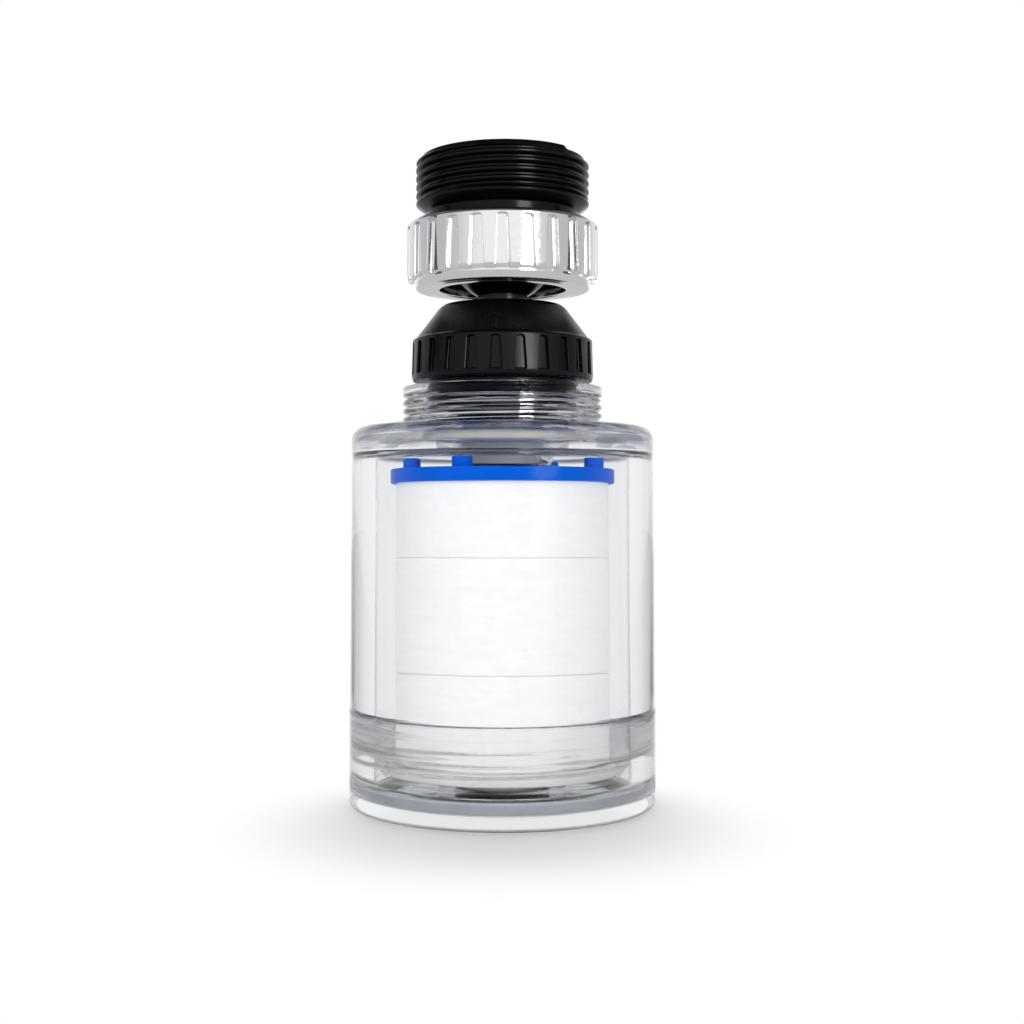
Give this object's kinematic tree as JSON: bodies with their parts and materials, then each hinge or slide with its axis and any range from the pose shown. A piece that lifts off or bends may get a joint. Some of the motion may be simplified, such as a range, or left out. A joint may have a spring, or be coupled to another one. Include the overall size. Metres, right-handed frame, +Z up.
{
  "type": "faucet mount water filter",
  "caption": "Upright clear faucet mount water filter with a white cotton cartridge, blue end cap and black and chrome ball swivel inlet.",
  "frame": {"origin": "centre of the underside of the base cap, on the filter's axis", "axes": "+Z up along the filter's axis, from the outlet in the base cap to the inlet thread; -Y faces the picture's camera"},
  "size_m": [0.0426, 0.0426, 0.0897],
  "materials": {
    "clear_plastic": "water-clear moulded plastic, polished",
    "black_plastic": "glossy moulded black plastic",
    "chrome": "bright plated plastic",
    "blue_plastic": "blue moulded plastic, semi-gloss",
    "white_plastic": "natural white moulded plastic",
    "cotton": "wound white fibre felt",
    "grey_silicone": "grey translucent silicone",
    "black_rubber": "black seal rubber",
    "steel_mesh": "perforated stainless steel"
  },
  "bodies": {
    "base": {"base_cap": "clear_plastic", "base_seal": "grey_silicone", "cartridge_bottom_cap": "white_plastic", "outlet_seal": "black_rubber", "core_tube": "white_plastic", "cotton_band_lower": "cotton", "cotton_band_middle": "cotton", "cotton_band_upper": "cotton", "cartridge_top_cap": "blue_plastic"},
    "housing_carrier": {"neck_washer": "grey_silicone"},
    "body": {"housing": "clear_plastic"},
    "collar_carrier": {"stem_seal": "black_rubber"},
    "collar": {"coupling_collar": "black_plastic"},
    "stem": {"ball_stem": "black_plastic"},
    "head": {"ball_seal": "black_rubber", "inlet_adapter": "black_plastic", "inlet_screen": "steel_mesh", "inlet_washer": "black_rubber"},
    "nut_carrier": {"ball_seat": "black_plastic"},
    "nut": {"swivel_nut": "chrome"}
  },
  "joints": [
    {"name": "housing_travel", "type": "slide", "parent": "base", "child": "housing_carrier", "axis": [0, 0, 1], "range_m": [0, 0.0105]},
    {"name": "housing_turn", "type": "hinge", "parent": "housing_carrier", "child": "body", "pos_m": [0, 0, 0.0135], "axis": [0, 0, 1], "range_deg": [0, 2520]},
    {"name": "collar_travel", "type": "slide", "parent": "body", "child": "collar_carrier", "axis": [0, 0, 1], "range_m": [0, 0.007]},
    {"name": "collar_turn", "type": "hinge", "parent": "collar_carrier", "child": "collar", "pos_m": [0, 0, 0.0584], "axis": [0, 0, 1], "range_deg": [0, 2520]},
    {"name": "swivel_spin", "type": "hinge", "parent": "collar", "child": "stem", "pos_m": [0, 0, 0.0775], "axis": [0, 0, 1], "continuous": true},
    {"name": "swivel_tilt", "type": "hinge", "parent": "stem", "child": "head", "pos_m": [0, 0, 0.0775], "axis": [1, 0, 0], "range_deg": [-10, 10]},
    {"name": "nut_travel", "type": "slide", "parent": "head", "child": "nut_carrier", "axis": [0, 0, -1], "range_m": [0, 0.0005]},
    {"name": "nut_turn", "type": "hinge", "parent": "nut_carrier", "child": "nut", "pos_m": [0, 0, 0.0775], "axis": [0, 0, -1], "range_deg": [0, 180]}
  ],
  "couplings": [
    {"joint": "housing_travel", "follows": "housing_turn", "m_per_rad": 0.00023873},
    {"joint": "collar_travel", "follows": "collar_turn", "m_per_rad": 0.00015915},
    {"joint": "nut_travel", "follows": "nut_turn", "m_per_rad": 0.00015915}
  ]
}
